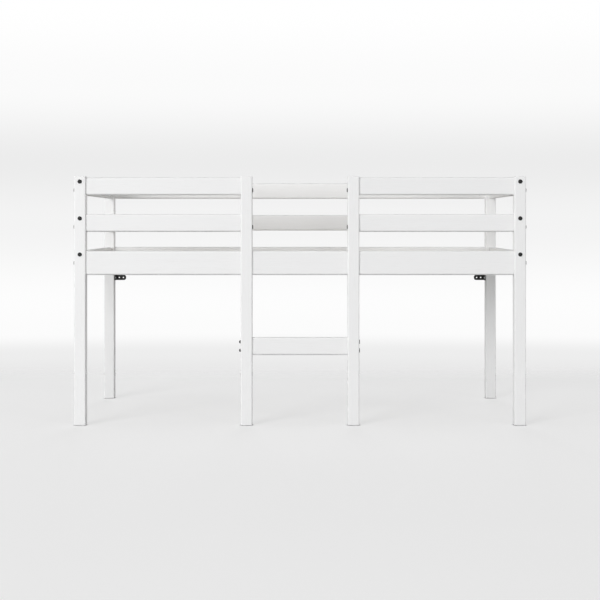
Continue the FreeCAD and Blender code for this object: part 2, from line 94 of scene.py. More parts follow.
class BedFinishes(bpy.types.PropertyGroup):
    """Colours and surface sizes of every finish on the bed."""

    lacquer: FloatVectorProperty(
        name="Lacquer", description="White of the lacquered boards", subtype="COLOR",
        default=(0.827, 0.828, 0.829), min=0, max=1)
    lacquer_thin: FloatVectorProperty(
        name="Thin Lacquer", description="White where the lacquer lies thinner on the grain",
        subtype="COLOR", default=(0.795, 0.795, 0.794), min=0, max=1)
    lacquer_roughness: FloatProperty(
        name="Lacquer Roughness", description="Roughness of the satin lacquer", subtype="FACTOR",
        default=0.42, min=0, max=1)
    grain_depth: FloatProperty(
        name="Grain Depth", description="How deep the grain shows through the lacquer", unit="LENGTH",
        default=0.00008, precision=6)
    pine_early: FloatVectorProperty(
        name="Pine, Early Wood", description="Pale part of the pine's growth rings", subtype="COLOR",
        default=(0.80, 0.735, 0.62), min=0, max=1)
    pine_late: FloatVectorProperty(
        name="Pine, Late Wood", description="Dark part of the pine's growth rings", subtype="COLOR",
        default=(0.67, 0.56, 0.42), min=0, max=1)
    pine_knot: FloatVectorProperty(
        name="Pine, Knots", description="Colour of the knots in the pine", subtype="COLOR",
        default=(0.20, 0.085, 0.03), min=0, max=1)
    ring_width: FloatProperty(
        name="Ring Width", description="Width of one growth ring in the pine", unit="LENGTH",
        default=0.0034, precision=5)
    beech: FloatVectorProperty(
        name="Beech", description="Colour of the dowels", subtype="COLOR",
        default=(0.60, 0.42, 0.26), min=0, max=1)
    black_coat: FloatVectorProperty(
        name="Black Coating", description="Colour of the coated bolts and brackets", subtype="COLOR",
        default=(0.010, 0.010, 0.0105), min=0, max=1)
    black_worn: FloatVectorProperty(
        name="Worn Coating", description="Colour of the coating where it thins along edges", subtype="COLOR",
        default=(0.040, 0.040, 0.042), min=0, max=1)
    zinc: FloatVectorProperty(
        name="Zinc", description="Colour of the plated nuts, screws and staples", subtype="COLOR",
        default=(0.55, 0.56, 0.57), min=0, max=1)
    yarn: FloatVectorProperty(
        name="Yarn", description="Colour of the webbing's yarn", subtype="COLOR",
        default=(0.72, 0.70, 0.64), min=0, max=1)
    # Painted shade: the darker colour given to the hollows between the webbing's yarns
    painted_yarn_shade: FloatVectorProperty(
        name="Yarn Shade", description="Colour between the webbing's yarns", subtype="COLOR",
        default=(0.42, 0.39, 0.33), min=0, max=1)
    yarn_pitch: FloatProperty(
        name="Yarn Pitch", description="From one yarn of the webbing to the next", unit="LENGTH",
        default=0.0014, precision=5)


class BedWebbing(bpy.types.PropertyGroup):
    """Sizes of the webbing bands and their staples."""

    sag: FloatProperty(
        name="Sag", description="How far a band hangs down between two slats", unit="LENGTH",
        default=0.0026, precision=5)
    selvedge: FloatProperty(
        name="Selvedge", description="Width of the rounded edge of a band", unit="LENGTH",
        default=0.0006, precision=5)
    staple_crown: FloatProperty(
        name="Staple Crown", description="Width of a staple's crown", unit="LENGTH",
        default=0.011, precision=4)
    staple_leg: FloatProperty(
        name="Staple Leg", description="Length of a staple's legs", unit="LENGTH",
        default=0.010, precision=4)
    staple_wire: FloatProperty(
        name="Staple Wire", description="Width of a staple's wire", unit="LENGTH",
        default=0.0012, precision=5)
    staple_thickness: FloatProperty(
        name="Staple Thickness", description="Thickness of a staple's wire", unit="LENGTH",
        default=0.0007, precision=5)
    staple_spacing: FloatProperty(
        name="Staple Spacing", description="Between the two staples on one slat", unit="LENGTH",
        default=0.034, precision=4)
    staple_turn: FloatProperty(
        name="Staple Turn", description="How far a staple may stand askew", subtype="ANGLE",
        default=math.radians(7))
    seed: IntProperty(name="Seed", description="Seed of the uneven sag and staples", default=7)


class BedStage(bpy.types.PropertyGroup):
    """Camera, lamps, floor and background."""

    camera_distance: FloatProperty(
        name="Camera Distance", description="From the middle of the bed to the camera", unit="LENGTH",
        default=6.698)
    camera_height: FloatProperty(
        name="Camera Height", description="Height of the camera above the floor", unit="LENGTH",
        default=0.951)
    camera_lens: FloatProperty(
        name="Lens", description="Focal length in millimetres", unit="CAMERA", default=79.62)
    camera_drop: FloatProperty(
        name="Drop", description="Shift of the picture below the horizon, as a share of its width",
        default=0.13)
    key_place: FloatVectorProperty(
        name="Key Place", description="Where the key lamp hangs, to the left in front of the bed",
        subtype="XYZ", default=(-10.3, -16.5, 5.0))
    key_size: FloatProperty(
        name="Key Size", description="Side of the key lamp", unit="LENGTH", default=8.5)
    key_power: FloatProperty(
        name="Key Power", description="Power of the key lamp", unit="POWER", default=2470.0)
    balance_place: FloatVectorProperty(
        name="Balance Place", description="Where the balancing lamp hangs, to the right in front of the bed",
        subtype="XYZ", default=(22.3, -26.5, 5.0))
    balance_size: FloatProperty(
        name="Balance Size", description="Side of the balancing lamp", unit="LENGTH", default=9.2)
    balance_power: FloatProperty(
        name="Balance Power", description="Power of the balancing lamp", unit="POWER", default=2940.0)
    side_place: FloatVectorProperty(
        name="Side Place", description="Where the side lamp hangs, to the left of the bed", subtype="XYZ",
        default=(-19.8, -2.8, 2.0))
    side_size: FloatProperty(
        name="Side Size", description="Side of the side lamp", unit="LENGTH", default=3.8)
    side_power: FloatProperty(
        name="Side Power", description="Power of the side lamp", unit="POWER", default=700.0)
    back_place: FloatVectorProperty(
        name="Back Place", description="Where the lamp behind the bed hangs", subtype="XYZ",
        default=(0.0, 21.0, 5.4))
    back_size: FloatProperty(
        name="Back Size", description="Side of the lamp behind the bed", unit="LENGTH", default=8.0)
    back_power: FloatProperty(
        name="Back Power", description="Power of the lamp behind the bed", unit="POWER", default=1700.0)
    fill_level: FloatProperty(
        name="Level Fill", description="Strength of the soft light from all round, just above the horizon",
        default=1.1, min=0)
    fill_overhead: FloatProperty(
        name="Overhead Fill", description="Strength of the soft light from overhead", default=0.42, min=0)
    floor_bounce: FloatVectorProperty(
        name="Floor Bounce", description="Colour of the light that the floor throws back", subtype="COLOR",
        default=(0.12, 0.12, 0.12))
    floor_shade: FloatVectorProperty(
        name="Floor Shade", description="Colour of the lit part of the floor, which holds the shadows",
        subtype="COLOR", default=(0.40, 0.40, 0.40))
    floor_glow: FloatVectorProperty(
        name="Floor Glow", description="Tone that the floor is lifted by in the picture", subtype="COLOR",
        default=(0.565, 0.565, 0.565))
    # Reach of the painted contact shadow, which darkens the floor's glow where a foot meets the floor
    contact_shadow_reach: FloatProperty(
        name="Floor Contact", description="How far the dark line where a foot meets the floor reaches",
        unit="LENGTH", default=0.012, precision=4)
    floor_back: FloatProperty(
        name="Floor Back Edge", description="Where the floor ends behind the bed", unit="LENGTH",
        default=2.07)
    floor_front: FloatProperty(
        name="Floor Front Edge", description="Where the floor ends in front of the bed", unit="LENGTH",
        default=-4.5)
    floor_side: FloatProperty(
        name="Floor Side Edge", description="From the middle of the bed to the floor's left and right edges",
        unit="LENGTH", default=2.8)
    floor_fade: FloatProperty(
        name="Floor Fade", description="Over what length the floor fades into the background", unit="LENGTH",
        default=0.9)


# Shader trees


class ShaderTree:
    """Short ways to add nodes to a material or world, and to join them."""

    # Most of a noise lies between these two
    noise_low = 0.3
    noise_high = 0.7

    def __init__(self, owner):
        owner.use_nodes = True
        self.tree = owner.node_tree
        self.tree.nodes.clear()

    def add(self, kind, inputs=None, **settings):
        node = self.tree.nodes.new("ShaderNode" + kind)
        for name, value in settings.items():
            setattr(node, name, value)
        for socket, value in (inputs or {}).items():
            self.feed(node.inputs[socket], value)
        return node

    def feed(self, socket, value):
        if isinstance(value, bpy.types.NodeSocket):
            self.tree.links.new(value, socket)
        elif socket.type == "RGBA":
            socket.default_value = (*value, 1)
        else:
            socket.default_value = value

    def maths(self, operation, *values):
        return self.add("Math", dict(enumerate(values)), operation=operation).outputs[0]

    def weighted(self, *parts):
        """Sum of the values, each given with its weight."""
        products = [self.maths("MULTIPLY", value, weight) for value, weight in parts]
        total = products[0]
        for product in products[1:]:
            total = self.maths("ADD", total, product)
        return total

    def centred(self, value):
        """Value from 0 to 1 moved to lie about 0."""
        return self.maths("SUBTRACT", value, 0.5)

    def hypotenuse(self, first, second):
        """Length of the long side over two sides at a right angle."""
        squares = [self.maths("MULTIPLY", side, side) for side in (first, second)]
        return self.maths("SQRT", self.maths("ADD", *squares))

    def blend(self, share, first, second):
        """Colour that goes from the first to the second as share goes from 0 to 1."""
        node = self.add("Mix", {0: share, 6: first, 7: second}, data_type="RGBA")
        return node.outputs[2]

    def span(self, value, low, high, start=0.0, end=1.0):
        """Value eased from start, at low, to end, at high."""
        inputs = {"Value": value, "From Min": low, "From Max": high, "To Min": start, "To Max": end}
        return self.add("MapRange", inputs, interpolation_type="SMOOTHSTEP").outputs[0]

    def vary(self, noise, start, end):
        """Value that follows a noise, from start where the noise is low to end where it is high."""
        return self.span(noise, self.noise_low, self.noise_high, start, end)

    def object_point(self):
        return self.add("TexCoord").outputs["Object"]

    def split(self, vector):
        return self.add("SeparateXYZ", {0: vector}).outputs[:3]

    def join(self, x, y, z):
        return self.add("CombineXYZ", {0: x, 1: y, 2: z}).outputs[0]

    def stretched(self, point, scales):
        return self.add("Mapping", {"Vector": point, "Scale": scales}).outputs[0]

    def noise(self, point, scale, detail=3.0, roughness=0.55):
        inputs = {"Vector": point, "Scale": scale, "Detail": detail, "Roughness": roughness}
        return self.add("TexNoise", inputs).outputs["Fac"]

    def bump(self, height, depth, under=None):
        """Normal with bumps of the given depth, on top of another normal if there is one."""
        inputs = {"Height": height, "Strength": 1.0, "Distance": depth}
        if under is not None:
            inputs["Normal"] = under
        return self.add("Bump", inputs).outputs[0]

    def surface(self, **inputs):
        """Ends the tree in one principled surface. An input's name has _ for each space."""
        named = {name.replace("_", " "): value for name, value in inputs.items()}
        shader = self.add("BsdfPrincipled", named)
        self.add("OutputMaterial", {"Surface": shader.outputs[0]})


def new_material(name):
    material = bpy.data.materials.new(name)
    return material, ShaderTree(material)


# Finishes


def white_lacquer(finishes, grain_axis):
    """Satin white lacquer on softwood, whose grain runs along the given axis."""
    material, nodes = new_material(f"white_lacquer_{AXES[grain_axis].lower()}")
    grain_stretch = 0.03
    grain_scale, figure_scale = 420.0, 60.0
    peel_scale, cloud_scale = 700.0, 2.2
    grain_weight, figure_weight, cloud_weight = 0.70, 0.20, 0.10
    thin_from, thin_full = 0.46, 0.70
    roughness_spread = 0.07
    figure_depth = finishes.grain_depth / 2
    peel_depth = finishes.grain_depth / 4
    lacquer_ior = 1.48

    point = nodes.object_point()
    scales = [1.0] * len(AXES)
    scales[grain_axis] = grain_stretch
    board_point = nodes.stretched(point, scales)
    grain = nodes.noise(board_point, grain_scale, detail=4.0)
    figure = nodes.noise(board_point, figure_scale, detail=2.0)
    peel = nodes.noise(point, peel_scale, detail=1.0)
    cloud = nodes.noise(point, cloud_scale, detail=2.0)
    thin = nodes.weighted((grain, grain_weight), (figure, figure_weight), (cloud, cloud_weight))
    colour = nodes.blend(nodes.span(thin, thin_from, thin_full), finishes.lacquer, finishes.lacquer_thin)
    smooth = finishes.lacquer_roughness - roughness_spread
    rough = finishes.lacquer_roughness + roughness_spread
    normal = nodes.bump(grain, finishes.grain_depth)
    normal = nodes.bump(figure, figure_depth, normal)
    normal = nodes.bump(peel, peel_depth, normal)
    nodes.surface(
        Base_Color=colour, Roughness=nodes.vary(figure, smooth, rough), Normal=normal, IOR=lacquer_ior)
    return material


def pine_heart(nodes, slat, along, chance_x, chance_z):
    """Heart of the tree, as seen from the slat's middle. It lies elsewhere for each slat, and wanders."""
    wander_scale, wander_reach = 1.3, 0.030
    heart_spread, heart_depth = 0.05, 0.012
    wander = nodes.centred(nodes.noise(nodes.join(along, slat, 0.0), wander_scale, detail=1.0))
    wander = nodes.maths("MULTIPLY", wander, wander_reach)
    heart_x = nodes.maths("MULTIPLY_ADD", nodes.centred(chance_x), heart_spread, wander)
    heart_z = nodes.maths("ADD", nodes.maths("MULTIPLY_ADD", chance_z, -heart_spread, -heart_depth), wander)
    return heart_x, heart_z


def pine_knots(nodes, slat, across, along):
    """Shares of knot and of the swirl about it. Each stretch of a slat has one chance of a knot."""
    stretch, slat_shift = 0.22, 3.7
    flattening = 0.8
    rarity = 0.62
    least_radius, radius_spread = 0.003, 0.008
    rim_outside, rim_inside = 1.15, 0.85
    swirl_outside, swirl_inside = 4.5, 0.5
    place = nodes.maths("MULTIPLY_ADD", slat, slat_shift, nodes.maths("DIVIDE", along, stretch))
    cells = nodes.add("TexVoronoi", {"W": place, "Scale": 1.0}, voronoi_dimensions="1D")
    chance_x, chance_size, chance_knot = nodes.split(cells.outputs["Color"])
    knot_x = nodes.maths("MULTIPLY", nodes.centred(chance_x), slat_width)
    off_x = nodes.maths("SUBTRACT", across, knot_x)
    off_y = nodes.maths("MULTIPLY", cells.outputs["Distance"], stretch * flattening)
    radius = nodes.maths("MULTIPLY_ADD", chance_size, radius_spread, least_radius)
    reach = nodes.maths("DIVIDE", nodes.hypotenuse(off_x, off_y), radius)
    there = nodes.maths("GREATER_THAN", chance_knot, rarity)
    knot = nodes.maths("MULTIPLY", nodes.span(reach, rim_outside, rim_inside), there)
    swirl = nodes.maths("MULTIPLY", nodes.span(reach, swirl_outside, swirl_inside), there)
    return knot, swirl


def late_wood(nodes, radius, ring_width):
    """Share of late wood at a distance from the heart. In each ring it grows slowly and ends sharply."""
    late_from, late_full = 0.35, 0.88
    ring_end, end_from = 1.0, 0.93
    in_ring = nodes.maths("FRACT", nodes.maths("DIVIDE", radius, ring_width))
    return nodes.maths(
        "MULTIPLY", nodes.span(in_ring, late_from, late_full), nodes.span(in_ring, ring_end, end_from))


def raw_pine(finishes):
    """Planed pine, with rings about a heart of its own in each slat, knots and fine fibres."""
    material, nodes = new_material("raw_pine")
    log_length = 9.0
    waver_stretch, waver_scale, waver_reach = 0.12, 26.0, 0.006
    swirl_reach = 0.007
    fibre_stretch, fibre_scale, fibre_depth = 0.02, 700.0, 0.00010
    fibre_from, fibre_full = 0.3, 0.75
    fibre_pale, fibre_dark = -0.10, 0.22
    tone_scale, tone_low, tone_high = 0.9, 0.2, 0.8
    ring_faint, ring_strong, ring_depth = 0.45, 0.85, 0.00008
    swirl_tint, knot_tint = 0.35, 0.85
    early_roughness, late_roughness = 0.66, 0.50

    # Place on the slat, and chances of the slat's own
    x, y, z = nodes.split(nodes.object_point())
    first_edge = slat_boxes[0][0].x - (slat_pitch - slat_width) / 2
    steps = nodes.maths("DIVIDE", nodes.maths("SUBTRACT", x, first_edge), slat_pitch)
    slat = nodes.maths("FLOOR", steps)
    across = nodes.maths("MULTIPLY", nodes.centred(nodes.maths("SUBTRACT", steps, slat)), slat_pitch)
    chances = nodes.add("TexWhiteNoise", {"W": slat}, noise_dimensions="1D").outputs["Color"]
    chance_x, chance_z, chance_y = nodes.split(chances)
    along = nodes.maths("ADD", y, nodes.maths("MULTIPLY", chance_y, log_length))

    # Growth rings, which waver and bend round the knots
    knot, swirl = pine_knots(nodes, slat, across, along)
    heart_x, heart_z = pine_heart(nodes, slat, along, chance_x, chance_z)
    from_x = nodes.maths("SUBTRACT", across, heart_x)
    from_z = nodes.maths("SUBTRACT", nodes.maths("SUBTRACT", z, slat_middle_z), heart_z)
    waver_point = nodes.join(across, nodes.maths("MULTIPLY", along, waver_stretch), z)
    waver = nodes.maths("MULTIPLY", nodes.noise(waver_point, waver_scale, detail=2.0), waver_reach)
    radius = nodes.maths("ADD", nodes.hypotenuse(from_x, from_z), waver)
    radius = nodes.maths("ADD", radius, nodes.maths("MULTIPLY", swirl, swirl_reach))
    late = late_wood(nodes, radius, finishes.ring_width)

    # Colour and surface
    fibre_point = nodes.join(across, nodes.maths("MULTIPLY", along, fibre_stretch), z)
    fibre = nodes.noise(fibre_point, fibre_scale)
    tone = nodes.noise(nodes.join(slat, along, 0.0), tone_scale, detail=1.0)
    share = nodes.maths("MULTIPLY", late, nodes.span(tone, tone_low, tone_high, ring_faint, ring_strong))
    share = nodes.maths("ADD", share, nodes.span(fibre, fibre_from, fibre_full, fibre_pale, fibre_dark))
    colour = nodes.blend(share, finishes.pine_early, finishes.pine_late)
    colour = nodes.blend(nodes.maths("MULTIPLY", swirl, swirl_tint), colour, finishes.pine_late)
    colour = nodes.blend(nodes.maths("MULTIPLY", knot, knot_tint), colour, finishes.pine_knot)
    roughness = nodes.span(late, 0.0, 1.0, early_roughness, late_roughness)
    normal = nodes.bump(fibre, fibre_depth)
    normal = nodes.bump(late, ring_depth, normal)
    nodes.surface(Base_Color=colour, Roughness=roughness, Normal=normal, IOR=WOOD_IOR)
    return material


def beech(finishes):
    """Turned beech with its short dark flecks."""
    material, nodes = new_material("beech")
    fleck_scale, cloud_scale = 900.0, 60.0
    fleck_from, fleck_full, fleck_share = 0.55, 0.75, 0.6
    cloud_from, cloud_full, cloud_share = 0.3, 0.8, 0.35
    dark_share = 0.72
    smooth, rough = 0.5, 0.62
    fleck_depth = 0.00005

    point = nodes.object_point()
    fleck = nodes.noise(point, fleck_scale, detail=2.0)
    cloud = nodes.noise(point, cloud_scale, detail=2.0)
    dark = [dark_share * part for part in finishes.beech]
    share = nodes.maths(
        "ADD", nodes.span(fleck, fleck_from, fleck_full, 0.0, fleck_share),
        nodes.span(cloud, cloud_from, cloud_full, 0.0, cloud_share))
    nodes.surface(
        Base_Color=nodes.blend(share, finishes.beech, dark), Roughness=nodes.vary(fleck, smooth, rough),
        Normal=nodes.bump(fleck, fleck_depth), IOR=WOOD_IOR)
    return material


def black_coat(finishes):
    """Satin black coating on steel, fine as orange peel and thinner along edges."""
    material, nodes = new_material("black_coat")
    peel_scale, peel_depth = 1400.0, 0.00004
    cloud_scale = 160.0
    edge_radius, edge_samples = 0.0008, 6
    edge_from, edge_full = 0.995, 0.90
    wear_from, wear_full, least_wear = 0.35, 0.65, 0.25
    smooth, rough = 0.44, 0.60
    coat_ior, coat_shine = 1.5, 0.3

    point = nodes.object_point()
    peel = nodes.noise(point, peel_scale, detail=2.0)
    cloud = nodes.noise(point, cloud_scale)
    soft = nodes.add("Bevel", {"Radius": edge_radius}, samples=edge_samples).outputs[0]
    true = nodes.add("NewGeometry").outputs["Normal"]
    facing = nodes.add("VectorMath", {0: soft, 1: true}, operation="DOT_PRODUCT").outputs["Value"]
    edge = nodes.span(facing, edge_from, edge_full)
    worn = nodes.maths("MULTIPLY", edge, nodes.span(cloud, wear_from, wear_full, least_wear, 1.0))
    nodes.surface(
        Base_Color=nodes.blend(worn, finishes.black_coat, finishes.black_worn),
        Roughness=nodes.vary(cloud, smooth, rough), Normal=nodes.bump(peel, peel_depth), IOR=coat_ior,
        Specular_IOR_Level=coat_shine)
    return material


def zinc_plate(finishes):
    """Bright zinc plating with a faint spangle."""
    material, nodes = new_material("zinc_plate")
    spangle_scale = 700.0
    fine_scale, fine_depth = 1800.0, 0.00002
    dull_share = 0.78
    smooth, rough = 0.26, 0.42

    point = nodes.object_point()
    spangle = nodes.add("TexVoronoi", {"Vector": point, "Scale": spangle_scale}).outputs["Color"]
    patch = nodes.split(spangle)[0]
    fine = nodes.noise(point, fine_scale, detail=2.0)
    dull = [dull_share * part for part in finishes.zinc]
    nodes.surface(
        Base_Color=nodes.blend(patch, finishes.zinc, dull), Metallic=1.0,
        Roughness=nodes.vary(fine, smooth, rough), Normal=nodes.bump(fine, fine_depth))
    return material


def woven_webbing(finishes):
    """Twill band: yarns side by side along X, crossed by yarns along Y that step over by one each time, with
    painted shade between the yarns.
    """
    material, nodes = new_material("woven_webbing")
    twill_reach = 0.9
    dipped_height = 0.45
    fuzz_scale, fuzz_weight = 3200.0, 0.3
    painted_shade_below, yarn_above = 0.15, 0.85
    smooth, rough = 0.75, 0.9
    weave_depth = 0.0003
    yarn_sheen, yarn_ior = 0.2, 1.45

    point = nodes.object_point()
    x, y = nodes.split(point)[:2]
    turn = 2 * math.pi / finishes.yarn_pitch
    ribs = nodes.maths("ABSOLUTE", nodes.maths("SINE", nodes.maths("MULTIPLY", y, turn / 2)))
    twill = nodes.maths("SINE", nodes.weighted((x, turn / 2), (y, turn)))
    height = nodes.maths("MULTIPLY", ribs, nodes.span(twill, -twill_reach, twill_reach, dipped_height, 1.0))
    fuzz = nodes.noise(point, fuzz_scale, detail=2.0)
    lift = nodes.maths("ADD", height, nodes.maths("MULTIPLY", fuzz, fuzz_weight))
    # Painted shade between the yarns: where the weave lies low the colour darkens towards the yarn's shade
    # colour; the fuzz noise adds random tone
    colour = nodes.blend(nodes.span(lift, painted_shade_below, yarn_above), finishes.painted_yarn_shade, finishes.yarn)
    nodes.surface(
        Base_Color=colour, Roughness=nodes.vary(fuzz, smooth, rough), Normal=nodes.bump(lift, weave_depth),
        Sheen_Weight=yarn_sheen, IOR=yarn_ior)
    return material


def nodes_in_slot(slot):
    """CAD objects whose record gives them the slot."""
    named = [part["node"] for part in frame["record"]["subparts"] if part["material_slot"] == slot]
    if not named:
        raise RuntimeError(f"the frame has no piece in {slot}")
    return [frame["nodes"][name] for name in named]


def paint(obj, material):
    if not obj.material_slots:
        obj.data.materials.append(material)
    for slot in obj.material_slots:
        slot.material = material


# Boards, slats and fittings


class BED_OT_lacquer_boards(bpy.types.Operator):
    """Lacquers the posts, rails, ladder and ledges, each with its grain along its length"""

    bl_idname = "bed.lacquer_boards"
    bl_label = "Lacquer Boards"

    def execute(self, context):
        finishes = context.scene.bed_finishes
        lacquers = [white_lacquer(finishes, axis) for axis in range(len(AXES))]
        for board in nodes_in_slot("white_lacquer"):
            low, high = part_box(board.name)
            sides = list(high - low)
            paint(board, lacquers[sides.index(max(sides))])
        return {"FINISHED"}


class BED_OT_finish_slats(bpy.types.Operator):
    """Gives the slats their raw planed pine"""

    bl_idname = "bed.finish_slats"
    bl_label = "Finish Slats"

    def execute(self, context):
        pine = raw_pine(context.scene.bed_finishes)
        for slat in nodes_in_slot("raw_pine"):
            paint(slat, pine)
        return {"FINISHED"}


class BED_OT_finish_fittings(bpy.types.Operator):
    """Coats the bolts and wall brackets, plates the nuts and screws and finishes the dowels"""

    bl_idname = "bed.finish_fittings"
    bl_label = "Finish Fittings"

    def execute(self, context):
        finishes = context.scene.bed_finishes
        makers = {"black_steel": black_coat, "zinc_steel": zinc_plate, "beech": beech}
        for slot, maker in makers.items():
            finish = maker(finishes)
            for fitting in nodes_in_slot(slot):
                paint(fitting, finish)
        return {"FINISHED"}


# Webbing bands


def band_heights(webbing, chance):
    """Places along a band: (x, height of its upper face). It lies on each slat and hangs between them."""
    flat_steps, gap_steps = 4, 12
    least_sag, most_sag = 0.6, 1.4
    low, high = band_boxes["front"]
    places = []
    for index, (slat_low, slat_high) in enumerate(slat_boxes):
        start = max(slat_low.x, low.x)
        end = min(slat_high.x, high.x)
        for step in range(flat_steps + 1):
            places.append((start + (end - start) * step / flat_steps, slat_low.z))
        if index == len(slat_boxes) - 1:
            break
        gap = slat_boxes[index + 1][0].x - end
        depth = webbing.sag * chance.uniform(least_sag, most_sag)
        for step in range(1, gap_steps):
            share = step / gap_steps
            places.append((end + gap * share, slat_low.z - depth * math.sin(math.pi * share) ** 2))
    return places


def band_section(width, thickness, selvedge):
    """Outline of a band across Y, from its upper face down and round, with rounded edges."""
    flat_steps, turn_steps = 4, 4
    half = width / 2
    corner = min(selvedge, thickness / 2)
    outline = []
    for step in range(flat_steps + 1):
        outline.append((-half + corner + (width - 2 * corner) * step / flat_steps, 0))
    for step in range(1, turn_steps):
        angle = math.pi * step / turn_steps
        outline.append((half - corner + corner * math.sin(angle), -thickness / 2 * (1 - math.cos(angle))))
    for step in range(flat_steps + 1):
        outline.append((half - corner - (width - 2 * corner) * step / flat_steps, -thickness))
    for step in range(1, turn_steps):
        angle = math.pi * step / turn_steps
        outline.append((-half + corner - corner * math.sin(angle), -thickness / 2 * (1 + math.cos(angle))))
    return outline


def band_mesh(name, webbing, box, chance):
    """One band as a closed strip swept through its places along X."""
    low, high = box
    thickness = high.z - low.z
    middle_y = (low.y + high.y) / 2
    section = band_section(high.y - low.y, thickness, webbing.selvedge)
    strip = bmesh.new()
    rings = []
    for x, top in band_heights(webbing, chance):
        rings.append([strip.verts.new((x, middle_y + y, top + z)) for y, z in section])
    for ring, after in zip(rings, rings[1:]):
        for here in range(len(section)):
            beside = (here + 1) % len(section)
            strip.faces.new((ring[here], ring[beside], after[beside], after[here]))
    strip.faces.new(rings[0])
    strip.faces.new(rings[-1])
    bmesh.ops.recalc_face_normals(strip, faces=strip.faces)
    for face in strip.faces:
        face.smooth = len(face.verts) < len(section)
    mesh = bpy.data.meshes.new(name)
    strip.to_mesh(mesh)
    strip.free()
    return mesh


class BED_OT_weave_bands(bpy.types.Operator):
    """Lays the two webbing bands along the undersides of the slats"""

    bl_idname = "bed.weave_bands"
    bl_label = "Weave Bands"

    def execute(self, context):
        webbing = context.scene.bed_webbing
        chance = random.Random(webbing.seed)
        cloth = woven_webbing(context.scene.bed_finishes)
        for side, box in band_boxes.items():
            name = f"webbing_band_{side}"
            band = bpy.data.objects.new(name, band_mesh(name, webbing, box, chance))
            context.scene.collection.objects.link(band)
            paint(band, cloth)
            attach(band, BASE_BODY)
            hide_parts(f"slat_band_{side}")
        return {"FINISHED"}


# Staples


class GeometryTree:
    """Short ways to build a geometry node tree with named inputs."""

    def __init__(self, name):
        self.tree = bpy.data.node_groups.new(name, "GeometryNodeTree")
        self.given = self.tree.nodes.new("NodeGroupInput")
        self.result = self.tree.nodes.new("NodeGroupOutput")
        self.tree.interface.new_socket("Geometry", in_out="OUTPUT", socket_type="NodeSocketGeometry")
        self.values = {}

    def size(self, name, kind, value):
        """Adds a named input, and returns its socket inside the tree."""
        socket = self.tree.interface.new_socket(name, in_out="INPUT", socket_type="NodeSocket" + kind)
        self.values[socket.identifier] = value
        return self.given.outputs[name]

    def add(self, kind, inputs=None, **settings):
        node = self.tree.nodes.new(kind)
        for name, value in settings.items():
            setattr(node, name, value)
        for socket, value in (inputs or {}).items():
            if isinstance(value, bpy.types.NodeSocket):
                self.tree.links.new(value, node.inputs[socket])
            else:
                node.inputs[socket].default_value = value
        return node

    def maths(self, operation, *values):
        return self.add("ShaderNodeMath", dict(enumerate(values)), operation=operation).outputs[0]

    def join(self, x, y, z):
        return self.add("ShaderNodeCombineXYZ", {0: x, 1: y, 2: z}).outputs[0]

    def finish(self, geometry):
        self.tree.links.new(geometry, self.result.inputs[0])

    def applied_to(self, name):
        """New object with the tree's result as its plain mesh."""
        obj = bpy.data.objects.new(name, bpy.data.meshes.new(name))
        bpy.context.scene.collection.objects.link(obj)
        modifier = obj.modifiers.new(name, "NODES")
        modifier.node_group = self.tree
        for identifier, value in self.values.items():
            modifier[identifier] = value
        evaluated = obj.evaluated_get(bpy.context.evaluated_depsgraph_get())
        mesh = bpy.data.meshes.new_from_object(evaluated)
        obj.modifiers.remove(modifier)
        obj.data = mesh
        return obj


def staple_wire(tree, crown, leg, width, thickness):
    """One staple: a wire bent twice, with its crown on the XY plane along Y and its legs up."""
    corners = 4
    middle = (corners - 1) / 2
    tolerance = 0.1
    bend_steps = 3
    index = tree.add("GeometryNodeInputIndex").outputs[0]
    side = tree.maths("SIGN", tree.maths("SUBTRACT", index, middle))
    from_middle = tree.maths("ABSOLUTE", tree.maths("SUBTRACT", index, middle))
    at_tip = tree.maths("COMPARE", from_middle, middle, tolerance)
    half_crown = tree.maths("DIVIDE", crown, 2.0)
    corner = tree.join(0.0, tree.maths("MULTIPLY", side, half_crown), tree.maths("MULTIPLY", at_tip, leg))
    line = tree.add("GeometryNodeMeshLine", {"Count": corners}).outputs[0]
    bent = tree.add("GeometryNodeSetPosition", {"Geometry": line, "Position": corner}).outputs[0]
    path = tree.add("GeometryNodeMeshToCurve", {0: bent}).outputs[0]
    bends = {"Curve": path, "Radius": width, "Count": bend_steps}
    rounded = tree.add("GeometryNodeFilletCurve", bends, mode="POLY").outputs[0]
    section = tree.add("GeometryNodeCurvePrimitiveQuadrilateral", {"Width": width, "Height": thickness})
    sweep = {"Curve": rounded, "Profile Curve": section.outputs[0], "Fill Caps": True}
    return tree.add("GeometryNodeCurveToMesh", sweep).outputs[0]


